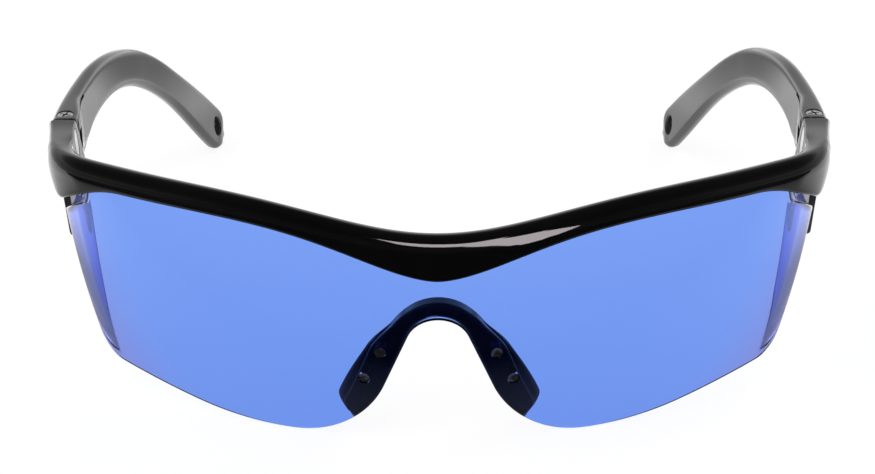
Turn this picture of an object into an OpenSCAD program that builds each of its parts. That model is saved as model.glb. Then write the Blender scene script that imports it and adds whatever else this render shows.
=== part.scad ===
/* [Lens] */
// Half of the lens width at its widest, near the top edge
lens_half_w = 72.5; // [68:0.1:77]
// Plan radius of the lens across the eyes
lens_front_r = 122; // [110:1:140]
// Plan radius where the lens turns the corner towards the ears
lens_corner_r = 15; // [12:0.5:18]
// Wall of the moulded lens
lens_t = 2.0; // [1.6:0.1:2.4]
// Radius of the slight bulge of the lens from top to bottom
lens_bulge_r = 190; // [140:5:260]
// Lean of the front of the lens towards the cheeks, in degrees
lens_front_lean = 1.75; // [0:0.25:3]
// Lean of the sides of the lens towards the cheeks, in degrees
lens_side_lean = 2.75; // [0:0.25:4]
// Distance from the middle to the lowest point of each lobe, along the curve
lobe_x = 30; // [29:0.25:33]
// Radius of the lobe on the nose side
lobe_r = 21; // [19:0.25:22]
// Radius of the lobe on the cheek side
cheek_r = 74; // [45:1:90]
// Slope of the lower edge beyond the cheek, in degrees
cheek_slope = 16; // [14:0.5:24]
// Slope of the rear edge of the side, in degrees
rear_rake = 60; // [50:1:68]
// Height where the rear edge turns upright
rear_turn_z = 31.4; // [29:0.5:36]
// Height of the top of the nose cut-out
nose_top_z = 28.4; // [26:0.2:30]
// Radius of the top of the nose cut-out
nose_r = 6.2; // [5:0.1:7]
// Length of the relief in the top edge of the lens, from each corner back to its end
relief_w = 27; // [14:0.5:28]
// Depth of that relief below the frame
relief_drop = 2.0; // [1.5:0.1:3]
// Distance of the middle of that relief past the start of the corner
relief_from = 13.8; // [7:0.1:15]

/* [Brow frame] */
// Height of the top of the end pieces and of the hinges
frame_top_z = 50.9; // [49.5:0.1:54]
// How far the brow rises over the eyes above the end pieces
brow_rise = 1.8; // [0:0.1:2.4]
// How far the top of the brow dips over the nose
brow_dip = 6.5; // [3:0.25:8]
// Half-width of that dip
brow_dip_w = 27; // [20:0.5:34]
// Height of the brow over the eyes, up to the level of the end pieces
brow_h = 2.5; // [2.3:0.1:4.4]
// How far the point over the nose reaches below that edge
peak_drop = 11.0; // [8:0.25:13]
// Half-width of the point over the nose
peak_w = 21.5; // [17:0.5:25]
// Height of the end piece at the hinge
end_h = 12.5; // [11.5:0.25:13]
// How far the brow stands in front of the lens
brow_bulge = 1.9; // [1.3:0.1:2.6]
// How far the end piece stands outside the lens
end_bulge = 4.0; // [2.8:0.1:4.2]
// Roundness of the top of the brow over the eyes
brow_round = 3.0; // [2:0.1:4]
// How far the corner of the brow stands outside the lens
corner_bulge = 2.0; // [0.8:0.1:2.6]
// How much the end piece thins on the inside towards its top
end_thin = 1.0; // [0:0.1:1.2]
// Depth of the brow behind the face of the lens
brow_back = 4.3; // [3.6:0.1:5.5]
// Depth of the groove that holds the lens
groove_h = 2.0; // [1.2:0.1:2.3]
// Clearance of the lens in its groove
groove_gap = 0.1; // [0.06:0.01:0.16]

/* [Hinge] */
// Distance of the hinge axis behind the front of the lens
hinge_y = 46.2; // [44.5:0.1:48]
// Distance of the hinge axis outside the widest part of the lens
hinge_out = 0.7; // [0:0.1:1.2]
// Radius of the hinge knuckles
knuckle_r = 2.5; // [2.3:0.05:2.8]
// Thickness of the frame's tongue between the knuckles
tongue_h = 4.6; // [4:0.1:5.2]
// Thickness of the upper knuckle
knuckle_top_h = 3.6; // [3.2:0.1:3.8]
// Clearance above and below the tongue
fork_gap = 0.15; // [0.1:0.01:0.25]
// Gap between the end piece and the temple
hinge_gap = 0.3; // [0.25:0.01:0.4]
// Radius of the screw's shank
screw_r = 1.1; // [0.9:0.05:1.2]
// Radius of the screw's head
screw_head_r = 1.65; // [1.5:0.05:1.8]
// Height of the screw's head
screw_head_h = 1.0; // [0.8:0.05:1.2]
// Radial play of the tongue on the screw
screw_play = 0.05; // [0.03:0.01:0.08]
// Width of the hinge nut across its flats
nut_w = 4.0; // [3.6:0.1:4.2]
// Thickness of the hinge nut
nut_h = 1.4; // [1.2:0.1:1.6]

/* [Temples] */
// Length of the straight part behind the hinge
temple_straight = 25.5; // [18:0.5:28]
// Length of the curved part up to the eye of the tip
temple_curve = 87.5; // [82:0.5:96]
// Steepest fall of the curve, in degrees, before it is set to the resting plane
temple_fall = 39.5; // [30:0.5:48]
// How far the tip stands inwards of the hinge
temple_toe_in = 16.7; // [13:0.1:22]
// Thickness at the hinge
temple_t = 5.2; // [5:0.1:5.4]
// Thickness at the tip
temple_tip_t = 3.2; // [2.8:0.1:4.2]
// How far the inner face of the arm steps back behind the hinge
neck_in = 1.3; // [0:0.1:1.6]
// Length of the slit in the inner face behind the hinge
slit_len = 8; // [5:0.5:9]
// Distance from the front face of the temple to the slit
slit_from = 8.3; // [7:0.1:10]
// Height of that slit
slit_h = 0.7; // [0.4:0.1:1]
// Depth of that slit
slit_depth = 0.8; // [0.4:0.1:1]
// Height of the arm at its narrowest
temple_h = 8.2; // [7.4:0.1:9.4]
// Height of the rounded tip
tip_h = 10.6; // [9:0.1:12.4]
// Depth of the side wing at the hinge, below the arm
wing_drop = 12; // [9:0.5:16]
// Length over which the wing fades into the arm
wing_fade = 12; // [9:0.5:16]
// Thickness of the wing
wing_t = 1.3; // [1.1:0.1:2]
// Radius of the long edges
edge_r = 1.3; // [0.8:0.1:1.6]
// Radius of the lanyard hole in the tip
lanyard_r = 2.2; // [1.6:0.1:2.6]

/* [Nose bridge] */
// Width of the saddle over the nose
saddle_w = 3.0; // [2.6:0.1:4]
// Depth of the saddle behind the lens
saddle_d = 3.2; // [2.8:0.1:5]
// Width of each leg where it lies on the lens
leg_w = 5.7; // [5.2:0.1:6.4]
// Reach of the soft flange behind the leg
pad_d = 6.5; // [5.5:0.25:9]
// Spread of the soft flange past the leg
pad_spread = 2.3; // [1:0.1:3]
// Thickness of the soft flange
pad_t = 1.5; // [1.2:0.1:2]
// How much further down the flange reaches for each step back
pad_sweep = 0.45; // [0:0.05:0.6]
// Length of each leg, measured down the flank of the cut-out
leg_len = 26.5; // [22:0.5:28]
// Radius of the pegs that hold the bridge to the lens
peg_r = 1.2; // [1:0.05:1.4]
// Distance of the upper peg from the top of the arch, along the edge
peg_high = 13; // [12.5:0.25:15]
// Distance between the two pegs of a side
peg_pitch = 7; // [5.4:0.2:7.4]
// How much further in from the edge the lower peg stands, for each step down
peg_splay = 0.1; // [0:0.05:0.15]

/* [Hidden] */

round_fn = 48;
overcut = 1;

// Plan of the front: a wide arc, a tight corner arc, then straight back
join_a = asin((lens_half_w - lens_corner_r) / (lens_front_r - lens_corner_r));
corner_cx = (lens_front_r - lens_corner_r) * sin(join_a);
corner_cy = lens_front_r - (lens_front_r - lens_corner_r) * cos(join_a);
front_len = lens_front_r * join_a * PI / 180;
corner_len = lens_corner_r * (90 - join_a) * PI / 180;
side_s = front_len + corner_len;

// Angle of the outward normal at a distance s along the plan curve
function plan_a(s) = s < front_len ? s / lens_front_r * 180 / PI
    : s < side_s ? join_a + (s - front_len) / lens_corner_r * 180 / PI
    : 90;
function plan_x(s) = s < front_len ? lens_front_r * sin(plan_a(s))
    : corner_cx + lens_corner_r * sin(plan_a(s));
function plan_y(s) = s < front_len ? lens_front_r * (1 - cos(plan_a(s)))
    : s < side_s ? corner_cy - lens_corner_r * cos(plan_a(s))
    : corner_cy + s - side_s;

// How far the lens surface lies inwards of the plan curve at height z
function lean_at(s) = lens_front_lean + (lens_side_lean - lens_front_lean) * pow(sin(plan_a(s)), 2);
function inset(s, z) = let (h = max(frame_top_z - z, 0))
    h * h / (2 * lens_bulge_r) + h * tan(lean_at(s));

// Point at distance s along the front, out from the lens face by d, at height z
function skin(s, d, z) = let (q = abs(s), a = plan_a(q), o = d - inset(q, z))
    [(s < 0 ? -1 : 1) * (plan_x(q) + o * sin(a)), plan_y(q) - o * cos(a), z];

function soft_max(a, b, k) = (a + b + sqrt((a - b) * (a - b) + k * k)) / 2;
function bell(s, w, p) = exp(-pow(abs(s) / w, p));
function smooth(t) = let (c = min(max(t, 0), 1)) c * c * (3 - 2 * c);
function mix(a, b, t) = a + (b - a) * t;

// Hinge place
hinge_x = lens_half_w + hinge_out;
front_face_y = hinge_y - knuckle_r;
end_face_y = front_face_y - hinge_gap;
end_low_z = frame_top_z - end_h;
rear_gap = 0.5;
lens_rear_s = side_s + end_face_y - rear_gap - corner_cy;
frame_end_s = side_s + end_face_y - corner_cy;

// Nose cut-out: an arc over the nose, a straight flank, then the arc of the lobe
nose_cz = nose_top_z - nose_r;
centre_gap = sqrt(lobe_x * lobe_x + (nose_cz - lobe_r) * (nose_cz - lobe_r));
centre_tilt = atan2(nose_cz - lobe_r, lobe_x);
flank_a = asin((nose_r + lobe_r) / centre_gap) + centre_tilt;
nose_end = [nose_r * sin(flank_a), nose_cz + nose_r * cos(flank_a)];
lobe_start = [lobe_x - lobe_r * sin(flank_a), lobe_r - lobe_r * cos(flank_a)];
cheek_run = cheek_r * tan(cheek_slope);
cheek_blend = 8;

function cheek_z(s) = let (t = s - lobe_x)
    t < cheek_run ? t * t / (2 * cheek_r)
    : cheek_run * cheek_run / (2 * cheek_r) + (t - cheek_run) * tan(cheek_slope);
function rear_z(s) = rear_turn_z - (lens_rear_s - s) * tan(rear_rake);
function lens_low(s) = s < nose_end[0] ? nose_cz + sqrt(nose_r * nose_r - s * s)
    : s < lobe_start[0] ? mix(nose_end[1], lobe_start[1], (s - nose_end[0]) / (lobe_start[0] - nose_end[0]))
    : s < lobe_x ? lobe_r - sqrt(lobe_r * lobe_r - (lobe_x - s) * (lobe_x - s))
    : rear_z(s) < cheek_z(s) - 3 * cheek_blend ? cheek_z(s)
    : mix(cheek_z(s), soft_max(cheek_z(s), rear_z(s), cheek_blend),
        smooth((rear_z(s) - cheek_z(s)) / (3 * cheek_blend) + 1));

// Edges of the brow frame, seen from the front
brow_low_z = frame_top_z - brow_h;
end_blend = 9;
end_from_s = front_len - end_blend;
end_to_s = side_s + 7;
flare_s = side_s - 3;
function end_t(s) = smooth((abs(s) - end_from_s) / (end_to_s - end_from_s));
function brow_top(s) = frame_top_z - brow_dip * bell(s, brow_dip_w, 2)
    + brow_rise * (1 - smooth((abs(s) - front_len) / (frame_end_s - front_len)));
function brow_low(s) = mix(brow_low_z - peak_drop * bell(s, peak_w, 1.7), end_low_z, end_t(s));

// Top edge of the lens: in the groove, with a relief at each side
relief_s = front_len + relief_from;
function relief_t(s) = smooth((relief_w / 2 + 1 - abs(abs(s) - relief_s)) / 2);
function lens_top(s) = brow_low(s) + mix(groove_h - groove_gap, -relief_drop, relief_t(s));

// Places of the sections along the front, closer together over the nose
nose_steps = 15;
front_steps = 11;
corner_steps = 12;
side_steps = 4;
nose_zone = lobe_start[0] + 3;
half_s = concat([for (i = [0 : nose_steps]) nose_zone * i / nose_steps],
    [for (i = [1 : front_steps]) mix(nose_zone, front_len, i / front_steps)],
    [for (i = [1 : corner_steps]) front_len + corner_len * i / corner_steps]);
function all_s(end_s) = let (h = concat(half_s, [for (i = [1 : side_steps]) mix(side_s, end_s, i / side_steps)]))
    concat([for (i = [len(h) - 1 : -1 : 1]) h[i]], [for (q = h) -q]);

// Closed solid through rings of equal length; cap lists the faces that close the first ring
module loft(rings, cap = []) {
    n = len(rings[0]);
    m = len(rings);
    ends = len(cap) > 0 ? cap : [[for (j = [0 : n - 1]) j]];
    polyhedron(
        points = [for (r = rings) for (p = r) p],
        faces = concat(
            ends,
            [for (i = [0 : m - 2]) for (j = [0 : n - 1]) let (k = (j + 1) % n)
                each [[i * n + j, (i + 1) * n + j, (i + 1) * n + k], [i * n + j, (i + 1) * n + k, i * n + k]]],
            [for (e = ends) [for (j = [len(e) - 1 : -1 : 0]) (m - 1) * n + e[j]]]));
}

// Lens: the columns run from the lower edge to the top edge
lens_rows = 7;
function lens_ring(s) = let (lo = lens_low(abs(s)), hi = lens_top(s)) concat(
    [for (i = [0 : lens_rows]) skin(s, 0, mix(lo, hi, i / lens_rows))],
    [for (i = [lens_rows : -1 : 0]) skin(s, -lens_t, mix(lo, hi, i / lens_rows))]);

// Walk along the nose cut-out, from the top of the arch and straight on down a flank
arch_len = nose_r * flank_a * PI / 180;
function edge_a(w) = min(w / nose_r * 180 / PI, flank_a);
function edge_point(w) = [nose_r * sin(edge_a(w)), nose_cz + nose_r * cos(edge_a(w))]
    + max(w - arch_len, 0) * [cos(flank_a), -sin(flank_a)];
// Point at n outwards from the edge of the cut-out and b behind the lens
bridge_gap = 0.1;
lobe_w = arch_len + norm(lobe_start - nose_end);
// How far the lobe's edge has curved away from the flank's line
function lobe_away(w) = let (q = min(max(abs(w) - lobe_w, 0), lobe_r)) lobe_r - sqrt(lobe_r * lobe_r - q * q);
function bridge_point(w, n, b) = let (q = abs(w), e = edge_point(q), a = edge_a(q), x = e[0] + n * sin(a), z = e[1] + n * cos(a))
    skin((w < 0 ? -1 : 1) * x, -lens_t - bridge_gap - b, z);

function peg_n(w) = leg_w * 0.62 + peg_splay * (abs(w) - peg_high);
peg_places = [for (side = [-1, 1]) for (w = [peg_high, peg_high + peg_pitch]) side * w];
function peg_dir(w) = let (a = bridge_point(w, peg_n(w), 0), b = bridge_point(w, peg_n(w), 1)) (a - b) / norm(a - b);

// Runs an upright cylinder's axis along a direction at a point
module along(p, dir) {
    translate(p) rotate([0, acos(dir[2] / norm(dir)), atan2(dir[1], dir[0])]) children();
}

// Temple path: straight behind the hinge, then a fall that steepens towards the ear
temple_steps = 38;
temple_len = temple_straight + temple_curve;
step_len = temple_len / temple_steps;
function fall_a(w) = w < temple_straight ? 0 : temple_fall * sin(90 * (w - temple_straight) / temple_curve);
path = [for (i = 0, y = 0, z = 0; i <= temple_steps;
    a = fall_a((i + 0.5) * step_len), y = y + step_len * cos(a), z = z + step_len * sin(a), i = i + 1) [y, z]];
temple_rise = 5;
temple_mid_z = frame_top_z - temple_rise;
fall_scale = (temple_mid_z - tip_h / 2) / path[temple_steps][1];
function path_at(w) = let (f = min(max(w / step_len, 0), temple_steps), i = min(floor(f), temple_steps - 1))
    mix(path[i], path[i + 1], f - i);
function temple_y(w) = front_face_y + path_at(w)[0] + max(w - temple_len, 0);
function temple_z(w) = temple_mid_z - path_at(w)[1] * fall_scale;
function temple_slope(w) = atan(tan(fall_a(min(w, temple_len))) * fall_scale);
toe_power = 1.9;
function temple_x(w) = hinge_x - temple_toe_in * pow(max(temple_y(w) - hinge_y, 0) / (temple_y(temple_len) - hinge_y), toe_power);

// Size of the temple's section at a distance w from its front face
tip_blend = 32;
taper_len = 60;
neck_from = 4;
neck_to = 14;
function tip_t(w) = smooth((w - temple_len + tip_blend) / tip_blend);
function arm_half(w) = mix(temple_h, tip_h, tip_t(w)) / 2;
function top_h(w) = mix(temple_rise, arm_half(w), smooth(w / (taper_len - 10)));
ledge_part = 0.9;
function arm_low(w) = mix((end_h - temple_rise) / ledge_part, arm_half(w), smooth(w / taper_len));
function low_h(w) = arm_low(w) + wing_drop * bell(w, wing_fade, 1.7);
function outer(w) = mix(temple_t, temple_tip_t, smooth(w / taper_len)) / 2;
function thick(w) = 2 * outer(w)
    - neck_in * smooth((w - neck_from) / (neck_to - neck_from)) * (1 - smooth((w - neck_to) / (taper_len - neck_to)));
function low_thick(w) = mix(thick(w), wing_t, exp(-w / (2 * wing_fade)));
wing_tuck = 2.0;

function temple_ring(w) = let (
    over = max(w - temple_len, 0),
    round_k = sqrt(max(1 - pow(over / (tip_h / 2), 2), 0.0004)),
    c = [temple_x(min(w, temple_len)), 0, temple_z(min(w, temple_len))],
    a = temple_slope(w),
    y = front_face_y + path_at(w)[0] + over * cos(a),
    z = c[2] - over * sin(a),
    x = c[0] - over * sin(atan(toe_power * temple_toe_in / (temple_y(temple_len) - hinge_y))),
    up = top_h(w) * round_k,
    dn = low_h(w) * round_k,
    out = outer(w),
    r = min(edge_r, up * 0.6),
    low_r = min(r, low_thick(w) * 0.45),
    in_up = out - thick(w),
    in_dn = out - low_thick(w),
    tuck = wing_tuck * exp(-w / wing_fade),
    ledge = min(arm_low(w) * round_k, dn - r),
    sec = [
        [out - r, up], [out - 0.3 * r, up - 0.3 * r], [out, up - r],
        [out, -0.1 * dn], [out - 0.6 * tuck, -0.5 * dn], [out - tuck, low_r - dn],
        [out - tuck - 0.3 * low_r, 0.3 * low_r - dn], [out - tuck - low_r, -dn],
        [in_dn - tuck + 0.7 * low_r, -dn], [in_dn - tuck, 0.7 * low_r - dn], [mix(in_dn, in_up, 0.15) - 0.3 * tuck, -ledge],
        [in_up, -ledge_part * ledge], [in_up, up - r], [in_up + 0.3 * r, up - 0.3 * r], [in_up + r, up]])
    [for (q = sec) [x + q[0], y + q[1] * sin(a), z + q[1] * cos(a)]];

tip_turn = atan(toe_power * temple_toe_in / (temple_y(temple_len) - hinge_y));
tip_normal = [cos(tip_turn), sin(tip_turn) * cos(temple_slope(temple_len)), -sin(tip_turn) * sin(temple_slope(temple_len))];

// Places everything with the origin under the middle of its box
brow_front_y = min([for (q = brow_ring(0)) q[1]]);
tip_end_y = temple_y(temple_len) + tip_h / 2;
mid_y = (brow_front_y + tip_end_y) / 2;
module placed() {
    translate([0, -mid_y, 0]) children();
}

// Levels of the hinge
tongue_top_z = frame_top_z - knuckle_top_h - fork_gap;
tongue_low_z = tongue_top_z - tongue_h;
slot_low_z = tongue_low_z - fork_gap;
fit_gap = 0.02;
nut_seat_z = end_low_z + nut_h + 0.3;

// Faces of the brow's section, which wraps round the groove
brow_cap = [[0, 1, 2], [0, 2, 3], [0, 3, 15], [3, 4, 15], [4, 5, 15], [5, 14, 15], [5, 6, 14], [6, 7, 14],
    [7, 8, 14], [8, 9, 14], [9, 10, 14], [10, 11, 14], [11, 13, 14], [11, 12, 13]];
module brow_frame() {
    color([0.07, 0.07, 0.08]) placed() {
        loft([for (s = all_s(frame_end_s)) brow_ring(s)], brow_cap);
        for (side = [0, 1]) mirror([side, 0, 0]) tongue();
    }
}

// The end piece flares out to the hinge
function bulge_at(s) = s < flare_s ? mix(brow_bulge, corner_bulge, smooth((s - end_from_s + end_blend) / (flare_s - end_from_s)))
    : mix(corner_bulge, end_bulge, pow((s - flare_s) / (frame_end_s - flare_s), 1.7));
// Section of the brow over a groove for the lens: a round back over the eyes turns
// into the flat top and sharper outer edge of the end piece
function brow_ring(s) = let (
    t = end_t(s), top = brow_top(s), low = brow_low(s), h = top - low,
    bulge = bulge_at(abs(s)),
    back = -mix(brow_back, lens_t + 0.9, t),
    rear = back + end_thin * t,
    lip = mix(1.1, 0.3, t),
    r = min(brow_round, h - 0.9),
    mid = (bulge + back) / 2,
    half = (bulge - back) / 2,
    arc = function (a) [mid + half * sin(a), top - r + r * cos(a)],
    cut = groove_gap)
    [for (q = [
        [cut, low], [lip, low], mix([bulge - 0.2, low + min(0.7, 0.15 * h)], [mix(lip, bulge, 0.5), low + 0.12 * h], t),
        mix(arc(90), [bulge, low + 0.36 * h], t), mix(arc(62), [bulge - 0.1, low + 0.62 * h], t),
        mix(arc(36), [bulge - 0.25, low + 0.84 * h], t), mix(arc(12), [bulge - 0.6, top - 0.5], t),
        mix(arc(-12), [bulge - 1, top], t), mix(arc(-38), [rear + 0.6, top], t), mix(arc(-62), [rear + 0.2, top - 0.2], t),
        mix(arc(-88), [rear, top - 0.7], t), [back, low + 0.7], [back + 0.6, low], [-lens_t - cut, low],
        [-lens_t - cut, low + groove_h], [cut, low + groove_h]]) skin(s, q[0], q[1])];

module tongue() {
    difference() {
        translate([hinge_x, hinge_y, tongue_low_z]) {
            cylinder(h = tongue_h, r = knuckle_r, $fn = round_fn);
            translate([-knuckle_r, end_face_y - hinge_y - overcut, 0]) {
                cube([2 * knuckle_r, hinge_y - end_face_y + overcut, tongue_h]);
            }
        }
        translate([hinge_x, hinge_y, tongue_low_z - overcut]) {
            cylinder(h = tongue_h + 2 * overcut, r = screw_r + screw_play, $fn = round_fn);
        }
    }
}

module lens() {
    color([0.35, 0.5, 1, 0.6]) placed() difference() {
        loft([for (s = all_s(lens_rear_s)) lens_ring(s)]);
        for (w = peg_places) {
            along(bridge_point(w, peg_n(w), 0), peg_dir(w)) {
                translate([0, 0, -overcut]) cylinder(h = lens_t + 2 * overcut + 0.5, r = peg_r + fit_gap, $fn = round_fn);
            }
        }
    }
}

// Section of the bridge: the saddle over the nose opens into a flange down each leg
bridge_steps = 40;
end_round = 3;
function bridge_ring(w) = let (
    left = leg_len + arch_len / 2 - abs(w),
    round_k = left > end_round ? 1 : sqrt(max(1 - pow(1 - left / end_round, 2), 0.02)),
    t = smooth((abs(w) - 4) / 10),
    u = smooth((abs(w) - 7) / 21),
    wide = mix(saddle_w, leg_w, t),
    deep = saddle_d,
    rim = mix(wide, leg_w + pad_spread, u),
    away = lobe_away(w),
    back = mix(saddle_d, pad_d, u),
    sec = [
        [0.5, 0], [wide - 0.4, 0], [wide, 0.5], [mix(wide, wide * 0.86, t), mix(deep * 0.6, deep, t)],
        [mix(wide, rim - pad_t * 0.6, t), mix(deep * 0.8, back - pad_t * 1.5, t)], [rim, mix(deep, back - pad_t * 0.8, t)],
        [rim - 0.5, back], [mix(wide * 0.5, rim - 2.2, t), back + mix(0.2, -0.4, t)],
        [mix(0.5, 1.6, t), mix(back * 0.9, back * 0.62, t)], [mix(-0.1, 0.3, t), mix(back * 0.6, back * 0.3, t)], [0, 0.5]])
    [for (q = sec) bridge_point(w + (w < 0 ? -1 : 1) * pad_sweep * u * q[1], away + q[0] * (1 - away / rim) * round_k,
        q[1] * mix(1, round_k, 0.5))];

module nose_bridge() {
    reach = leg_len + arch_len / 2;
    color([0.1, 0.1, 0.12]) placed() {
        loft([for (i = [0 : bridge_steps]) bridge_ring(mix(reach, -reach, i / bridge_steps))]);
        for (w = peg_places) {
            along(bridge_point(w, peg_n(w), 0), peg_dir(w)) {
                translate([0, 0, -overcut]) cylinder(h = lens_t + bridge_gap + overcut, r = peg_r, $fn = round_fn);
            }
        }
    }
}

tip_rounds = 9;
module temple_body() {
    ws = concat([for (i = [0 : temple_steps]) i * step_len],
        [for (i = [1 : tip_rounds]) temple_len + tip_h / 2 * sin(90 * i / tip_rounds)]);
    loft([for (w = ws) temple_ring(w)]);
}

module temple() {
    tall = wing_drop + end_h + temple_h;
    color([0.1, 0.1, 0.11]) placed() difference() {
        temple_body();
        // Slot for the frame's tongue
        translate([hinge_x - temple_t, front_face_y - overcut, slot_low_z]) {
            cube([2 * temple_t, hinge_y - front_face_y + overcut + knuckle_r + hinge_gap, tongue_h + 2 * fork_gap]);
        }
        // Inner front corner rounded about the axis
        difference() {
            translate([hinge_x - temple_t, front_face_y - overcut, frame_top_z - tall]) {
                cube([temple_t, knuckle_r + overcut, tall + overcut]);
            }
            translate([hinge_x, hinge_y, frame_top_z - tall - overcut]) {
                cylinder(h = tall + 3 * overcut, r = knuckle_r, $fn = round_fn);
            }
        }
        // Screw hole, head seat and nut pocket
        translate([hinge_x, hinge_y, 0]) {
            translate([0, 0, nut_seat_z - overcut]) cylinder(h = frame_top_z, r = screw_r + fit_gap, $fn = round_fn);
            translate([0, 0, frame_top_z - screw_head_h]) cylinder(h = 2 * overcut, r = screw_head_r + fit_gap, $fn = round_fn);
            translate([0, 0, end_low_z - 2 * overcut]) {
                cylinder(h = nut_seat_z - end_low_z + 2 * overcut, d = nut_w / cos(30) + 2 * fit_gap, $fn = 6);
            }
        }
        slit();
        lanyard_hole();
    }
}

// Slit along the upper edge of the inner face, just behind the hinge block
module slit() {
    mid_w = slit_from + slit_len / 2;
    in_x = temple_x(mid_w) + outer(mid_w) - thick(mid_w);
    translate([in_x - overcut, temple_y(mid_w) - slit_len / 2, frame_top_z - edge_r - slit_h]) {
        cube([overcut + slit_depth, slit_len, slit_h]);
    }
}

module lanyard_hole() {
    along([temple_x(temple_len), temple_y(temple_len), temple_z(temple_len)], tip_normal) {
        translate([0, 0, -temple_t]) cylinder(h = 2 * temple_t, r = lanyard_r, $fn = round_fn);
    }
}
module hinge_screw() {
    shank_low = nut_seat_z - nut_h;
    color([0.75, 0.74, 0.72]) placed() translate([hinge_x, hinge_y, 0]) difference() {
        union() {
            translate([0, 0, shank_low]) cylinder(h = frame_top_z - screw_head_h - shank_low, r = screw_r, $fn = round_fn);
            translate([0, 0, frame_top_z - screw_head_h]) cylinder(h = screw_head_h - 0.1, r = screw_head_r, $fn = round_fn);
        }
        for (turn = [0, 90]) rotate(turn) {
            translate([-screw_head_r * 0.65, -0.2, frame_top_z - 0.6]) cube([screw_head_r * 1.3, 0.4, overcut]);
        }
    }
}

module hinge_nut() {
    color([0.7, 0.69, 0.66]) placed() translate([hinge_x, hinge_y, nut_seat_z - nut_h]) difference() {
        cylinder(h = nut_h - fit_gap, d = nut_w / cos(30), $fn = 6);
        translate([0, 0, -overcut]) cylinder(h = nut_h + 2 * overcut, r = screw_r + fit_gap, $fn = round_fn);
    }
}

brow_frame();
lens();
nose_bridge();
mirror([1, 0, 0]) temple();  // temple_left
temple();  // temple_right
mirror([1, 0, 0]) hinge_screw();  // hinge_screw_left
hinge_screw();  // hinge_screw_right
mirror([1, 0, 0]) hinge_nut();  // hinge_nut_left
hinge_nut();  // hinge_nut_right
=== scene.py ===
import math

import bmesh
import bpy
from mathutils import Matrix, Vector


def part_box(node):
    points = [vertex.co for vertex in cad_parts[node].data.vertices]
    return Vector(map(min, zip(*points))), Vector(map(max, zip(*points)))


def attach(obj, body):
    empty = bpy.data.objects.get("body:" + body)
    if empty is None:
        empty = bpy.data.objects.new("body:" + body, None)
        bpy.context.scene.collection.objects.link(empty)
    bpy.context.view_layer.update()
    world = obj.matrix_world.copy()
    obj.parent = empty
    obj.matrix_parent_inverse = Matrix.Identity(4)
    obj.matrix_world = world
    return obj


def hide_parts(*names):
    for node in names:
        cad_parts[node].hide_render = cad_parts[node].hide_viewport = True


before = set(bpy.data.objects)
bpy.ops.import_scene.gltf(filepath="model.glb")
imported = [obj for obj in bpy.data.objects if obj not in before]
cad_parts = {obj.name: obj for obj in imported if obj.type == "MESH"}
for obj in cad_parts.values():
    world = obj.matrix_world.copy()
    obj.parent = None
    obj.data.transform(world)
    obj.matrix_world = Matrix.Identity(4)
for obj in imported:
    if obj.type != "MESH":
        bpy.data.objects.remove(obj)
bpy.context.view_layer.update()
print("frame loaded")

mm = 0.001
mergeGap = 0.004 * mm

# Lens curve seen from above, shared by the brow, the lens and the nose bridge
face = {  # lengths in mm, angles in degrees
    "halfWidth": 72.5,
    "frontRadius": 122,
    "cornerRadius": 15,
    "topHeight": 50.9,
    "bulgeRadius": 190,
    "frontLean": 1.75,
    "sideLean": 2.75,
    "endY": 43.4,
    "lensShort": 0.5,
    "guideStep": 0.4,
    "guideSpare": 2,
}

hinge = {
    "x": 73.2,
    "y": 46.2,
    "knuckleRadius": 2.5,
    "tongueHeight": 4.6,
    "tongueRoot": 1.0,
    "tongueEdge": 0.18,
    "tonguePlay": 0.05,
    "upperKnuckle": 3.6,
    "forkGap": 0.15,
    "slotEdge": 0.2,
    "cutReach": 8,
    "lowHeight": 38.4,
    "nutHeight": 1.4,
    "nutWidth": 4.0,
    "nutRoom": 0.3,
    "screwRadius": 1.1,
    "headRadius": 1.65,
    "headHeight": 1.0,
    "fit": 0.02,
}


def mix(a, b, t):
    return a + (b - a) * t


def smooth(t):
    t = min(max(t, 0), 1)
    return t * t * (3 - 2 * t)


def bell(x, width, power):
    return math.exp(-((abs(x) / width) ** power))


def softMax(a, b, k):
    return (a + b + math.sqrt((a - b) ** 2 + k * k)) / 2


def sind(a):
    return math.sin(math.radians(a))


def cosd(a):
    return math.cos(math.radians(a))


def tand(a):
    return math.tan(math.radians(a))


# Lengths along the curve: the wide arc, then the corner arc, then the straight side
centreGap = face["frontRadius"] - face["cornerRadius"]
joinAngle = math.degrees(math.asin((face["halfWidth"] - face["cornerRadius"]) / centreGap))
cornerX = centreGap * sind(joinAngle)
cornerY = face["frontRadius"] - centreGap * cosd(joinAngle)
frontLength = math.radians(joinAngle) * face["frontRadius"]
sideStart = frontLength + math.radians(90 - joinAngle) * face["cornerRadius"]
browEnd = sideStart + face["endY"] - cornerY
lensEnd = browEnd - face["lensShort"]

# The frame's origin, measured back from the front of the lens
nutLow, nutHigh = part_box("hinge_nut_right")
originY = hinge["y"] - (nutLow.y + nutHigh.y) / 2 / mm


def planPoint(s):
    q = abs(s)
    if q < frontLength:
        a = math.degrees(q / face["frontRadius"])
        x, y = face["frontRadius"] * sind(a), face["frontRadius"] * (1 - cosd(a))
    elif q < sideStart:
        a = joinAngle + math.degrees((q - frontLength) / face["cornerRadius"])
        x, y = cornerX + face["cornerRadius"] * sind(a), cornerY - face["cornerRadius"] * cosd(a)
    else:
        x, y = face["halfWidth"], cornerY + q - sideStart
    return (math.copysign(x, s) if s else 0, y)


def newObject(name, data):
    obj = bpy.data.objects.new(name, data)
    bpy.context.scene.collection.objects.link(obj)
    return obj


def inMetres(points):
    return [tuple(c * mm for c in p) for p in points]


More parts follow.
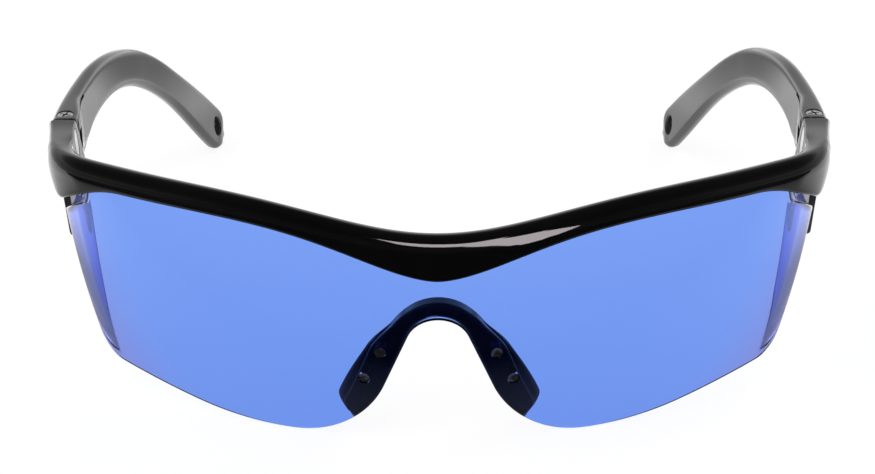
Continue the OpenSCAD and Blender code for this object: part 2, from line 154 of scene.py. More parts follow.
def meshFrom(name, points, faces):
    mesh = bpy.data.meshes.new(name)
    mesh.from_pydata(inMetres(points), [], faces)
    bm = bmesh.new()
    bm.from_mesh(mesh)
    bmesh.ops.remove_doubles(bm, verts=bm.verts, dist=mergeGap)
    bmesh.ops.recalc_face_normals(bm, faces=bm.faces)
    bm.to_mesh(mesh)
    bm.free()
    return mesh


# Closed skin over rings of equal size, with a cap at each end
def loftFaces(rings, size):
    faces = []
    for i in range(rings - 1):
        for j in range(size):
            k = (j + 1) % size
            faces.append((i * size + j, (i + 1) * size + j, (i + 1) * size + k, i * size + k))
    faces.append(tuple(range(size)))
    faces.append(tuple((rings - 1) * size + j for j in reversed(range(size))))
    return faces


def loft(name, rings):
    return meshFrom(name, [p for ring in rings for p in ring], loftFaces(len(rings), len(rings[0])))


# Outline with rounded corners; corners are (a, b, radius)
def roundedLoop(corners, steps=4):
    loop = []
    for i, (a, b, radius) in enumerate(corners):
        if radius <= 0:
            loop.append((a, b))
            continue
        pa, pb, _ = corners[i - 1]
        na, nb, _ = corners[(i + 1) % len(corners)]
        back = min(radius / max(math.hypot(pa - a, pb - b), 1e-6), 0.49)
        on = min(radius / max(math.hypot(na - a, nb - b), 1e-6), 0.49)
        p = (mix(a, pa, back), mix(b, pb, back))
        q = (mix(a, na, on), mix(b, nb, on))
        for k in range(steps + 1):
            t = k / steps
            u = 1 - t
            loop.append(tuple(u * u * p[c] + 2 * u * t * (a, b)[c] + t * t * q[c] for c in (0, 1)))
    return loop


def shrunk(loop, amount):
    ca = sum(p[0] for p in loop) / len(loop)
    cb = sum(p[1] for p in loop) / len(loop)
    return [(ca + (a - ca) * (1 - amount), cb + (b - cb) * (1 - amount)) for a, b in loop]


# Plain mesh from the evaluated object
def bake(obj):
    graph = bpy.context.evaluated_depsgraph_get()
    mesh = bpy.data.meshes.new_from_object(obj.evaluated_get(graph))
    obj.modifiers.clear()
    obj.data = mesh


def combine(obj, other, operation):
    modifier = obj.modifiers.new("cut", "BOOLEAN")
    modifier.operation = operation
    modifier.solver = "EXACT"
    modifier.object = other
    bake(obj)
    bpy.data.objects.remove(other)


def cutAway(obj, mesh):
    combine(obj, newObject(mesh.name, mesh), "DIFFERENCE")


def joinOn(obj, mesh):
    combine(obj, newObject(mesh.name, mesh), "UNION")


def finishSurface(obj, material, sharpAngle):
    mesh = obj.data
    mesh.materials.clear()
    mesh.materials.append(material)
    for polygon in mesh.polygons:
        polygon.material_index = 0
        polygon.use_smooth = True
    mesh.set_sharp_from_angle(angle=math.radians(sharpAngle))


# Node helpers; a value is a fixed one or a socket to link

def addNode(tree, kind, settings=None, **attributes):
    node = tree.nodes.new(kind)
    for key, value in attributes.items():
        setattr(node, key, value)
    for key, value in (settings or {}).items():
        node.inputs[key].default_value = value
    return node


def link(tree, source, target):
    tree.links.new(source, target)


def fillInputs(tree, node, values):
    for socket, value in zip(node.inputs, values):
        if isinstance(value, bpy.types.NodeSocket):
            link(tree, value, socket)
        else:
            socket.default_value = value


def mathNode(tree, operation, *values, clamp=False):
    node = addNode(tree, "ShaderNodeMath", operation=operation, use_clamp=clamp)
    fillInputs(tree, node, values)
    return node.outputs[0]


def vectorNode(tree, operation, *values, scale=None):
    node = addNode(tree, "ShaderNodeVectorMath", operation=operation)
    fillInputs(tree, node, values)
    if scale is not None:
        link(tree, scale, node.inputs["Scale"])
    return node.outputs[0]


def splitVector(tree, source):
    node = addNode(tree, "ShaderNodeSeparateXYZ")
    link(tree, source, node.inputs[0])
    return node.outputs


def remap(tree, source, fromLow, fromHigh, toLow, toHigh):
    node = addNode(tree, "ShaderNodeMapRange", {
        "From Min": fromLow, "From Max": fromHigh, "To Min": toLow, "To Max": toHigh})
    link(tree, source, node.inputs["Value"])
    return node.outputs["Result"]


def mixColours(tree, factor, first, second):
    blend = addNode(tree, "ShaderNodeMix", data_type="RGBA")
    link(tree, factor, blend.inputs["Factor"])
    colours = [socket for socket in blend.inputs if socket.type == "RGBA"]
    for socket, value in zip(colours, (first, second)):
        if isinstance(value, tuple):
            socket.default_value = (*value, 1)
        else:
            link(tree, value, socket)
    return [socket for socket in blend.outputs if socket.type == "RGBA"][0]


def mixShaders(tree, factor, first, second):
    both = addNode(tree, "ShaderNodeMixShader")
    link(tree, factor, both.inputs["Fac"])
    link(tree, first.outputs[0], both.inputs[1])
    link(tree, second.outputs[0], both.inputs[2])
    return both


# Materials. Depths, heights and edge radii are in mm, noise scales per metre

def newMaterial(name):
    material = bpy.data.materials.new(name)
    material.use_nodes = True
    material.node_tree.nodes.clear()
    return material, material.node_tree


def showSurface(tree, shader):
    out = addNode(tree, "ShaderNodeOutputMaterial")
    link(tree, shader.outputs[0], out.inputs["Surface"])


def ownPlace(tree):
    return addNode(tree, "ShaderNodeTexCoord").outputs["Object"]


def noiseRange(tree, place, scale, detail, low, high):
    noise = addNode(tree, "ShaderNodeTexNoise", {"Scale": scale, "Detail": detail})
    link(tree, place, noise.inputs["Vector"])
    return remap(tree, noise.outputs["Fac"], 0.3, 0.7, low, high)


def grainBump(tree, place, scale, strength, depth):
    grain = addNode(tree, "ShaderNodeTexNoise", {"Scale": scale, "Detail": 2})
    link(tree, place, grain.inputs["Vector"])
    bump = addNode(tree, "ShaderNodeBump", {"Strength": strength, "Distance": depth * mm})
    link(tree, grain.outputs["Fac"], bump.inputs["Height"])
    return bump


def easedEdges(tree, radius):
    return addNode(tree, "ShaderNodeBevel", {"Radius": radius * mm}, samples=4).outputs["Normal"]


glossLook = {
    "name": "glossBlackNylon",
    "tones": ((0.0014, 0.0014, 0.0015), (0.0024, 0.0024, 0.0025)),
    "rough": (0.02, 0.04),
    "grainScale": 900,
    "grainDepth": 0.0006,
    "edge": 0.12,
    "ior": 1.42,
}
satinLook = {
    "name": "satinBlackNylon",
    "tones": ((0.020, 0.020, 0.021), (0.024, 0.024, 0.025)),
    "rough": (0.14, 0.17),
    "grainScale": 4200,
    "grainDepth": 0.0006,
    "edge": 0.16,
    "ior": 1.5,
}


def mouldedPlastic(look):
    material, tree = newMaterial(look["name"])
    place = ownPlace(tree)
    shader = addNode(tree, "ShaderNodeBsdfPrincipled", {"IOR": look["ior"]})
    tone = noiseRange(tree, place, 90, 3, 0, 1)
    link(tree, mixColours(tree, tone, *look["tones"]), shader.inputs["Base Color"])
    link(tree, noiseRange(tree, place, 240, 4, *look["rough"]), shader.inputs["Roughness"])
    bump = grainBump(tree, place, look["grainScale"], 0.5, look["grainDepth"])
    link(tree, easedEdges(tree, look["edge"]), bump.inputs["Normal"])
    link(tree, bump.outputs["Normal"], shader.inputs["Normal"])
    showSurface(tree, shader)
    return material


lensLook = {
    "upper": (0.215, 0.385, 1.0),
    # Darker colour low down: painted shade
    "lower": (0.165, 0.315, 0.93),
    # Purple colour on the sides: painted reflection
    "side": (0.255, 0.285, 0.78),
    "shadow": (0.45, 0.58, 1.0),
    "fadeHeight": 46,
    "sideFrom": -56,
    "sideFull": -48,
    "cloud": 0.05,
    "haze": 0.012,
    "ior": 1.52,
}


# Blue dye, with painted shade making it a little darker low down and a painted reflection making it more
# purple on the sides
def tintedLens():
    material, tree = newMaterial("bluePolycarbonate")
    place = ownPlace(tree)
    axes = splitVector(tree, place)
    # Painted shade: darker towards the bottom
    up = remap(tree, axes["Z"], 0.0, lensLook["fadeHeight"] * mm, 0, 1)
    cloudy = noiseRange(tree, place, 22, 2, -lensLook["cloud"], lensLook["cloud"])
    level = mathNode(tree, "ADD", up, cloudy, clamp=True)
    # Painted reflection: more purple towards the sides
    side = remap(tree, axes["Y"], lensLook["sideFrom"] * mm, lensLook["sideFull"] * mm, 0, 1)
    blue = mixColours(tree, level, lensLook["lower"], lensLook["upper"])
    dyeShadeAndSheen = mixColours(tree, side, blue, lensLook["side"])
    shader = addNode(tree, "ShaderNodeBsdfPrincipled", {"IOR": lensLook["ior"], "Transmission Weight": 1.0})
    link(tree, dyeShadeAndSheen, shader.inputs["Base Color"])
    link(tree, noiseRange(tree, place, 300, 2, 0.0, lensLook["haze"]), shader.inputs["Roughness"])
    clear = addNode(tree, "ShaderNodeBsdfTransparent", {"Color": (*lensLook["shadow"], 1)})
    path = addNode(tree, "ShaderNodeLightPath")
    showSurface(tree, mixShaders(tree, path.outputs["Is Shadow Ray"], shader, clear))
    return material


rubberLook = {
    "tones": ((0.0060, 0.0060, 0.0060), (0.0085, 0.0085, 0.0085)),
    # Paler colour of the painted light on the pads
    "flange": (0.045, 0.045, 0.060),
    "rough": (0.22, 0.28),
    "grainScale": 3000,
    "grainDepth": 0.0015,
    "ior": 1.45,
}


# The attribute read here is one on the thin pads, which are painted paler than the saddle: painted light, for
# the light the pads catch
def softRubber():
    material, tree = newMaterial("softBlackElastomer")
    place = ownPlace(tree)
    shader = addNode(tree, "ShaderNodeBsdfPrincipled", {"IOR": rubberLook["ior"]})
    thin = addNode(tree, "ShaderNodeAttribute", attribute_name="flange")
    body = mixColours(tree, noiseRange(tree, place, 160, 3, 0, 1), *rubberLook["tones"])
    link(tree, mixColours(tree, thin.outputs["Fac"], body, rubberLook["flange"]), shader.inputs["Base Color"])
    link(tree, noiseRange(tree, place, 500, 3, *rubberLook["rough"]), shader.inputs["Roughness"])
    bump = grainBump(tree, place, rubberLook["grainScale"], 0.4, rubberLook["grainDepth"])
    link(tree, bump.outputs["Normal"], shader.inputs["Normal"])
    showSurface(tree, shader)
    return material


steelLook = {
    "tones": ((0.50, 0.49, 0.48), (0.66, 0.65, 0.64)),
    "rough": (0.18, 0.34),
    "edge": 0.06,
    "anisotropy": 0.4,
}


def brightSteel():
    material, tree = newMaterial("steelScrew")
    place = ownPlace(tree)
    shader = addNode(tree, "ShaderNodeBsdfPrincipled", {
        "Metallic": 1.0, "Anisotropic": steelLook["anisotropy"]})
    tone = noiseRange(tree, place, 1500, 3, 0, 1)
    link(tree, mixColours(tree, tone, *steelLook["tones"]), shader.inputs["Base Color"])
    link(tree, noiseRange(tree, place, 2500, 4, *steelLook["rough"]), shader.inputs["Roughness"])
    link(tree, easedEdges(tree, steelLook["edge"]), shader.inputs["Normal"])
    showSurface(tree, shader)
    return material


glossBlack = mouldedPlastic(glossLook)
satinBlack = mouldedPlastic(satinLook)
blueLens = tintedLens()
rubber = softRubber()
steel = brightSteel()
print("materials made")


# Geometry node trees

def newTree(name, inputs):
    tree = bpy.data.node_groups.new(name, "GeometryNodeTree")
    tree.is_modifier = True
    tree.interface.new_socket("Geometry", in_out="INPUT", socket_type="NodeSocketGeometry")
    for label, kind in inputs:
        tree.interface.new_socket(label, in_out="INPUT", socket_type="NodeSocket" + kind)
    tree.interface.new_socket("Geometry", in_out="OUTPUT", socket_type="NodeSocketGeometry")
    return tree, tree.nodes.new("NodeGroupInput").outputs, tree.nodes.new("NodeGroupOutput").inputs


def endTree(tree, given, out, geometry):
    real = addNode(tree, "GeometryNodeRealizeInstances")
    link(tree, geometry, real.inputs[0])
    paint = addNode(tree, "GeometryNodeSetMaterial")
    link(tree, real.outputs[0], paint.inputs["Geometry"])
    link(tree, given["Material"], paint.inputs["Material"])
    link(tree, paint.outputs[0], out[0])
    return tree


# Bends a flat piece, x along the curve and y behind the lens face, onto the curved and leaning face
def wrapRoundFace():
    tree, given, out = newTree("wrapRoundFace", [
        ("Guide", "Object"), ("Half Length", "Float"), ("Top Height", "Float"), ("Bulge Radius", "Float"),
        ("Front Lean", "Float"), ("Side Lean", "Float"), ("Material", "Material")])
    guide = addNode(tree, "GeometryNodeObjectInfo")
    link(tree, given["Guide"], guide.inputs["Object"])
    curve = addNode(tree, "GeometryNodeMeshToCurve")
    link(tree, guide.outputs["Geometry"], curve.inputs["Mesh"])
    flat = splitVector(tree, addNode(tree, "GeometryNodeInputPosition").outputs[0])
    sample = addNode(tree, "GeometryNodeSampleCurve", mode="LENGTH", use_all_curves=True)
    link(tree, curve.outputs[0], sample.inputs["Curves"])
    link(tree, mathNode(tree, "ADD", flat["X"], given["Half Length"]), sample.inputs["Length"])
    across = vectorNode(tree, "CROSS_PRODUCT", sample.outputs["Tangent"], (0, 0, 1))
    outward = vectorNode(tree, "NORMALIZE", across)
    turned = splitVector(tree, outward)["X"]
    spread = mathNode(tree, "SUBTRACT", given["Side Lean"], given["Front Lean"])
    sideways = mathNode(tree, "MULTIPLY", mathNode(tree, "MULTIPLY", turned, turned), spread)
    lean = mathNode(tree, "ADD", given["Front Lean"], sideways)
    drop = mathNode(tree, "MAXIMUM", mathNode(tree, "SUBTRACT", given["Top Height"], flat["Z"]), 0.0)
    diameter = mathNode(tree, "MULTIPLY", given["Bulge Radius"], 2.0)
    bulge = mathNode(tree, "DIVIDE", mathNode(tree, "MULTIPLY", drop, drop), diameter)
    leaned = mathNode(tree, "MULTIPLY", drop, mathNode(tree, "TANGENT", lean))
    inset = mathNode(tree, "ADD", bulge, leaned)
    away = mathNode(tree, "SUBTRACT", mathNode(tree, "MULTIPLY", flat["Y"], -1.0), inset)
    lift = addNode(tree, "ShaderNodeCombineXYZ")
    link(tree, flat["Z"], lift.inputs["Z"])
    raised = vectorNode(tree, "ADD", sample.outputs["Position"], lift.outputs[0])
    moved = vectorNode(tree, "ADD", raised, vectorNode(tree, "SCALE", outward, scale=away))
    place = addNode(tree, "GeometryNodeSetPosition")
    link(tree, given["Geometry"], place.inputs["Geometry"])
    link(tree, moved, place.inputs["Position"])
    return endTree(tree, given, out, place.outputs[0])


# Repeats a piece at every point of the spots object
def placeOnSpots():
    tree, given, out = newTree("placeOnSpots", [("Spots", "Object"), ("Material", "Material")])
    spots = addNode(tree, "GeometryNodeObjectInfo")
    link(tree, given["Spots"], spots.inputs["Object"])
    repeat = addNode(tree, "GeometryNodeInstanceOnPoints")
    link(tree, spots.outputs["Geometry"], repeat.inputs["Points"])
    link(tree, given["Geometry"], repeat.inputs["Instance"])
    return endTree(tree, given, out, repeat.outputs[0])


def runTree(obj, tree, values):
    modifier = obj.modifiers.new(tree.name, "NODES")
    modifier.node_group = tree
    for item in tree.interface.items_tree:
        if item.in_out == "INPUT" and item.name in values:
            modifier[item.identifier] = values[item.name]
    bake(obj)


wrapTree = wrapRoundFace()
spotTree = placeOnSpots()

halfGuide = browEnd + face["guideSpare"]
guideSteps = round(2 * halfGuide / face["guideStep"])
guidePoints = [planPoint(mix(-halfGuide, halfGuide, i / guideSteps)) for i in range(guideSteps + 1)]
guideMesh = bpy.data.meshes.new("faceGuide")
guideMesh.from_pydata([(x * mm, (y - originY) * mm, 0) for x, y in guidePoints],
                      [(i, i + 1) for i in range(guideSteps)], [])
faceGuide = newObject("faceGuide", guideMesh)
guideLength = sum(math.dist(guidePoints[i], guidePoints[i + 1]) for i in range(guideSteps))


def wrapped(obj, material):
    runTree(obj, wrapTree, {
        "Guide": faceGuide, "Half Length": guideLength / 2 * mm, "Top Height": face["topHeight"] * mm,
        "Bulge Radius": face["bulgeRadius"] * mm, "Front Lean": math.radians(face["frontLean"]),
        "Side Lean": math.radians(face["sideLean"]), "Material": material})


def spotted(obj, points, material):
    mesh = bpy.data.meshes.new("spots")
    mesh.from_pydata(inMetres(points), [], [])
    spots = newObject("spots", mesh)
    runTree(obj, spotTree, {"Spots": spots, "Material": material})
    bpy.data.objects.remove(spots)


# Places along the curve, from end to end; stops are (place, step) counted out from the middle
def steppedRange(stops, end):
    half = [0.0]
    for place, step in stops:
        start = half[-1]
        count = max(round((place - start) / step), 1)
        half += [mix(start, place, i / count) for i in range(1, count + 1)]
    return [-end] + [-v for v in reversed(half[1:])] + half + [end]


# Brow frame

brow = {
    "rise": 1.8,
    "crownFrom": 3,
    "round": 3.0,
    "roundLeft": 0.9,
    "dip": 6.5,
    "dipWidth": 27,
    "low": 48.4,
    "peakDrop": 11.0,
    "peakWidth": 21.5,
    "peakPower": 1.7,
    "frontBulge": 1.9,
    "cornerBulge": 2.0,
    "endBulge": 4.15,
    "endThin": 1.0,
    "thinLength": 10,
    "flareLead": 3,
    "flarePower": 1.15,
    "flatFrom": 1,
    "flatTo": 8,
    "backDepth": 4.3,
    "endBackDepth": 2.9,
    "lip": 1.1,
    "endLip": 0.3,
    "softCorner": 9,
    "sharpCorner": 0.5,
    "grooveHeight": 2.0,
    "grooveGap": 0.1,
    "lensThickness": 2.0,
    "endBlend": 9,
    "endReach": 7,
    "endRound": 0.3,
    "endShrink": 0.045,
    # The end piece's flat section. Each point starts with its angle on the round section over the eyes
    "facePoints": [(90, 0, 0.36), (70, 0, 0.66), (42, 0.25, 0.87)],  # then set back, share of the height
    "edgePoints": [(12, 0.8, 0.45), (-12, 1.3, 0)],  # then set back, depth below the top
    "rearPoints": [(-38, 0.6, 0), (-62, 0.2, 0.2), (-88, 0, 0.7)],  # then set forward, depth below the top
}
endFrom = frontLength - brow["endBlend"]
endTo = sideStart + brow["endReach"]
flareStart = sideStart - brow["flareLead"]
crownStart = frontLength + brow["crownFrom"]
flatStart = frontLength + brow["flatFrom"]


def endShare(s):
    return smooth((abs(s) - endFrom) / (endTo - endFrom))


def browTop(s):
    over = 1 - smooth((abs(s) - crownStart) / (browEnd - crownStart))
    return face["topHeight"] - brow["dip"] * bell(s, brow["dipWidth"], 2) + brow["rise"] * over


def browLow(s):
    low = brow["low"] - brow["peakDrop"] * bell(s, brow["peakWidth"], brow["peakPower"])
    return mix(low, hinge["lowHeight"], endShare(s))


def browBulge(s):
    q = abs(s)
    if q < flareStart:
        grown = smooth((q - endFrom + brow["endBlend"]) / (flareStart - endFrom))
        return mix(brow["frontBulge"], brow["cornerBulge"], grown)
    flare = ((q - flareStart) / (browEnd - flareStart)) ** brow["flarePower"]
    return mix(brow["cornerBulge"], brow["endBulge"], flare)


# A round section over the eyes turns into the flat top and sharper outer edge of the end piece.
# Each point is (distance in front of the lens face, height)
def browSection(s):
    t, top, low, bulge = endShare(s), browTop(s), browLow(s), browBulge(s)
    h = top - low
    back = -mix(brow["backDepth"], brow["endBackDepth"], t)
    rear = back + brow["endThin"] * smooth((abs(s) - browEnd + brow["thinLength"]) / brow["thinLength"])
    lip, gap = mix(brow["lip"], brow["endLip"], t), brow["grooveGap"]
    inner = -brow["lensThickness"] - gap
    r = min(brow["round"], h - brow["roundLeft"])
    centre, half = (bulge + back) / 2, (bulge - back) / 2
    flat = smooth((abs(s) - flatStart) / (browEnd - brow["flatTo"] - frontLength))
    soft, edge = brow["softCorner"], mix(brow["softCorner"], brow["sharpCorner"], smooth(1.6 * flat))

    def between(angle, d, z):
        return (mix(centre + half * sind(angle), d, flat), mix(top - r + r * cosd(angle), z, flat))

    foot = (mix(bulge - 0.2, mix(lip, bulge, 0.5), t), low + mix(min(0.7, 0.15 * h), 0.12 * h, t), soft)
    outer = [(*between(a, bulge - d, low + share * h), soft) for a, d, share in brow["facePoints"]]
    outer += [(*between(a, bulge - d, top - z), edge) for a, d, z in brow["edgePoints"]]
    behind = [(*between(a, rear + d, top - z), soft) for a, d, z in brow["rearPoints"]]
    groove = low + brow["grooveHeight"]
    under = [(back, low + 0.7, 0.5), (back + 0.6, low, 0.5)]
    return roundedLoop([(gap, low, 0.15), (lip, low, 0.4), foot] + outer + behind + under + [
        (inner, low, 0.15), (inner, groove, 0.1), (gap, groove, 0.1)])


def browMesh():
    rings = []
    stops = [(20, 0.8), (frontLength - 4, 1.0), (sideStart + 1, 0.6), (browEnd - brow["endRound"], 0.7)]
    for s in steppedRange(stops, browEnd):
        section = browSection(s)
        if abs(s) == browEnd:
            section = shrunk(section, brow["endShrink"])
        rings.append([(s, -d, z) for d, z in section])
    return loft("browFlat", rings)


# Flat plate round a hole, with eased edges; outerAt gives the rim's distance at an angle
def ringPlate(outerAt, innerRadius, low, high, bevel, count=72):
    points, faces = [], []
    turns = [2 * math.pi * i / count for i in range(count)]
    levels = [(low, bevel), (low + bevel, 0), (high - bevel, 0), (high, bevel)]
    for z, less in levels:
        points += [((outerAt(a) - less) * math.cos(a), (outerAt(a) - less) * math.sin(a), z) for a in turns]
    for z, more in reversed(levels):
        r = innerRadius + more * 0.6
        points += [(r * math.cos(a), r * math.sin(a), z) for a in turns]
    rings = len(levels) * 2
    for k in range(rings):
        n = (k + 1) % rings
        for i in range(count):
            j = (i + 1) % count
            faces.append((k * count + i, k * count + j, n * count + j, n * count + i))
    return points, faces


tongueTop = face["topHeight"] - hinge["upperKnuckle"] - hinge["forkGap"]
tongueLow = tongueTop - hinge["tongueHeight"]


# Round at the hinge, straight forward into the end piece
def tongueRim(angle):
    reach = hinge["y"] - face["endY"] + hinge["tongueRoot"]
    c, s = abs(math.cos(angle)), math.sin(angle)
    r = hinge["knuckleRadius"]
    if s >= 0:
        return r
    return min(r / max(c, 1e-6), reach / -s)


browFrame = newObject("browFrame", browMesh())
wrapped(browFrame, glossBlack)
for side in (-1, 1):
    bore = hinge["screwRadius"] + hinge["tonguePlay"]
    rim, rimFaces = ringPlate(tongueRim, bore, tongueLow, tongueTop, hinge["tongueEdge"])
    rim = [(side * (hinge["x"] + x), hinge["y"] - originY + y, z) for x, y, z in rim]
    joinOn(browFrame, meshFrom("tongue", rim, rimFaces))
finishSurface(browFrame, glossBlack, 42)
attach(browFrame, "front")
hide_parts("brow_frame")
print("brow frame made", len(browFrame.data.polygons))


# Lens

lens = {
    "thickness": 2.0,
    "lobeX": 30,
    "lobeRadius": 21,
    "cheekRadius": 74,
    "cheekSlope": 16,
    "cheekBlend": 8,
    "rearRake": 60,
    "rearTurn": 31.4,
    "noseTop": 28.4,
    "noseRadius": 6.2,
    "reliefWidth": 27,
    "reliefDrop": 2.0,
    "reliefFrom": 13.8,
    "reliefEase": 2,
    "rows": 22,
    "edgeRound": 0.45,
    "endRound": 0.3,
}
noseZ = lens["noseTop"] - lens["noseRadius"]
lobeGap = math.hypot(lens["lobeX"], noseZ - lens["lobeRadius"])
flankAngle = math.degrees(math.asin((lens["noseRadius"] + lens["lobeRadius"]) / lobeGap)
                          + math.atan2(noseZ - lens["lobeRadius"], lens["lobeX"]))
noseEnd = (lens["noseRadius"] * sind(flankAngle), noseZ + lens["noseRadius"] * cosd(flankAngle))
lobeStart = (lens["lobeX"] - lens["lobeRadius"] * sind(flankAngle),
             lens["lobeRadius"] * (1 - cosd(flankAngle)))
cheekRun = lens["cheekRadius"] * tand(lens["cheekSlope"])
reliefPlace = frontLength + lens["reliefFrom"]


def cheekHeight(s):
    t = s - lens["lobeX"]
    if t < cheekRun:
        return t * t / (2 * lens["cheekRadius"])
    return cheekRun ** 2 / (2 * lens["cheekRadius"]) + (t - cheekRun) * tand(lens["cheekSlope"])


def rearHeight(s):
    return lens["rearTurn"] - (lensEnd - s) * tand(lens["rearRake"])


def lensLow(s):
    s = abs(s)
    if s < noseEnd[0]:
        return noseZ + math.sqrt(lens["noseRadius"] ** 2 - s * s)
    if s < lobeStart[0]:
        return mix(noseEnd[1], lobeStart[1], (s - noseEnd[0]) / (lobeStart[0] - noseEnd[0]))
    if s < lens["lobeX"]:
        return lens["lobeRadius"] - math.sqrt(lens["lobeRadius"] ** 2 - (lens["lobeX"] - s) ** 2)
    cheek, rear, k = cheekHeight(s), rearHeight(s), lens["cheekBlend"]
    if rear < cheek - 3 * k:
        return cheek
    return mix(cheek, softMax(cheek, rear, k), smooth((rear - cheek) / (3 * k) + 1))


def lensTop(s):
    ease = lens["reliefEase"]
    relief = smooth((lens["reliefWidth"] / 2 + ease / 2 - abs(abs(s) - reliefPlace)) / ease)
    return browLow(s) + mix(brow["grooveHeight"] - brow["grooveGap"], -lens["reliefDrop"], relief)


def lensMesh():
    rings = []
    rows, t, r = lens["rows"], lens["thickness"], lens["edgeRound"]
    stops = [(noseEnd[0], 0.25), (lobeStart[0] + 1, 0.25), (20, 0.4), (frontLength - 2, 0.9),
             (sideStart, 0.4), (lensEnd - lens["endRound"], 0.5)]
    for s in steppedRange(stops, lensEnd):
        low, high = lensLow(s), lensTop(s)
        wall = [(mix(low, high, i / rows), r if i in (0, rows) else 0) for i in range(rows + 1)]
        front = [(0, z, ease) for z, ease in wall]
        section = roundedLoop(front + [(-t, z, ease) for z, ease in reversed(wall)])
        if abs(s) == lensEnd:
            section = [(mix(d, -t / 2, 0.3), z) for d, z in section]
        rings.append([(s, -d, z) for d, z in section])
    return loft("lensFlat", rings)


bridge = {
    "saddleWidth": 3.0,
    "saddleDepth": 3.2,
    "legWidth": 5.7,
    "padDepth": 6.5,
    "padSpread": 2.3,
    "padThickness": 1.5,
    "padSweep": 0.45,
    "padFrom": 7,
    "padBlend": 21,
    "legFrom": 4,
    "legBlend": 10,
    "legLength": 26.5,
    "gap": 0.1,
    "endRound": 3,
    "pegRadius": 1.2,
    "pegHigh": 13,
    "pegPitch": 7,
    "pegSplay": 0.1,
    "pegAcross": 0.62,
    "flangeFrom": 0.6,
    "flangeFade": 1.2,
    "steps": 110,
}
archLength = lens["noseRadius"] * math.radians(flankAngle)
lobeFrom = archLength + math.dist(noseEnd, lobeStart)
bridgeReach = bridge["legLength"] + archLength / 2


# How far the lobe's edge has curved away from the flank's line
def lobeAway(w):
    q = min(max(abs(w) - lobeFrom, 0), lens["lobeRadius"])
    return lens["lobeRadius"] - math.sqrt(lens["lobeRadius"] ** 2 - q * q)


# Angle and place on the edge of the nose cut-out, a length w from its top
def edgePoint(w):
    a = min(math.degrees(w / lens["noseRadius"]), flankAngle)
    over = max(w - archLength, 0)
    x = lens["noseRadius"] * sind(a) + over * cosd(flankAngle)
    z = noseZ + lens["noseRadius"] * cosd(a) - over * sind(flankAngle)
    return a, (x, z)


def bridgePoint(w, n, b):
    a, (x, z) = edgePoint(abs(w))
    return (math.copysign(x + n * sind(a), w), lens["thickness"] + bridge["gap"] + b, z + n * cosd(a))


pegAway = bridge["legWidth"] * bridge["pegAcross"]
pegSpots = [bridgePoint(side * (bridge["pegHigh"] + down), pegAway + bridge["pegSplay"] * down, 0)
            for side in (-1, 1) for down in (0, bridge["pegPitch"])]


# Turned shape round z, or round y; profile is (radius, height) from one end to the other
def revolved(name, profile, count=48, axis="Z"):
    points, faces = [], []
    for r, z in profile:
        for i in range(count):
            a = 2 * math.pi * i / count
            across, along = r * math.cos(a), r * math.sin(a)
            points.append((across, along, z) if axis == "Z" else (across, z, along))
    for k in range(len(profile) - 1):
        for i in range(count):
            j = (i + 1) % count
            faces.append((k * count + i, k * count + j, (k + 1) * count + j, (k + 1) * count + i))
    faces.append(tuple(range(count)))
    faces.append(tuple((len(profile) - 1) * count + i for i in reversed(range(count))))
    return meshFrom(name, points, faces)


holeRadius = bridge["pegRadius"] + hinge["fit"]
shieldLens = newObject("shieldLens", lensMesh())
pegHole = newObject("pegHole", revolved("pegHole", [(holeRadius, -4), (holeRadius, 2)], axis="Y"))
spotted(pegHole, pegSpots, blueLens)
combine(shieldLens, pegHole, "DIFFERENCE")
wrapped(shieldLens, blueLens)
finishSurface(shieldLens, blueLens, 50)
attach(shieldLens, "front")
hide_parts("lens")
print("lens made", len(shieldLens.data.polygons))


# Nose bridge

# The section runs round from the nose cut-out's edge: t turns the saddle into a leg, u spreads its pad
def bridgeSection(w):
    left = bridgeReach - abs(w)
    k = 1 if left > bridge["endRound"] else math.sqrt(max(1 - (1 - left / bridge["endRound"]) ** 2, 0.02))
    t = smooth((abs(w) - bridge["legFrom"]) / bridge["legBlend"])
    u = smooth((abs(w) - bridge["padFrom"]) / bridge["padBlend"])
    wide = mix(bridge["saddleWidth"], bridge["legWidth"], t)
    deep, thin = bridge["saddleDepth"], bridge["padThickness"]
    rim = mix(wide, bridge["legWidth"] + bridge["padSpread"], u)
    back = mix(deep, bridge["padDepth"], u)
    away = lobeAway(w)
    section = roundedLoop([
        (0.5, 0, 0.3), (wide - 0.4, 0, 0.3), (wide, 0.5, 0.4),
        (mix(wide, wide * 0.86, t), mix(deep * 0.6, deep, t), 1.0),
        (mix(wide, rim - thin * 0.6, t), mix(deep * 0.8, back - thin * 1.5, t), 1.2),
        (rim, mix(deep, back - thin * 0.8, t), 0.6), (rim - 0.5, back, 0.6),
        (mix(wide * 0.5, rim - 2.2, t), back + mix(0.2, -0.4, t), 1.5),
        (mix(0.5, 1.6, t), mix(back * 0.9, back * 0.62, t), 2.0),
        (mix(-0.1, 0.3, t), mix(back * 0.6, back * 0.3, t), 2.0), (0, 0.5, 0.4)])
    sweep = (-1 if w < 0 else 1) * bridge["padSweep"] * u
    return [bridgePoint(w + sweep * b, away + n * (1 - away / rim) * k, b * mix(1, k, 0.5))
            for n, b in section]


rings = [bridgeSection(mix(bridgeReach, -bridgeReach, i / bridge["steps"]))
         for i in range(bridge["steps"] + 1)]
bridgeMesh = loft("bridgeFlat", rings)
noseBridge = newObject("noseBridge", bridgeMesh)
flangeDepth = lens["thickness"] + bridge["gap"] + bridge["saddleDepth"] + bridge["flangeFrom"]
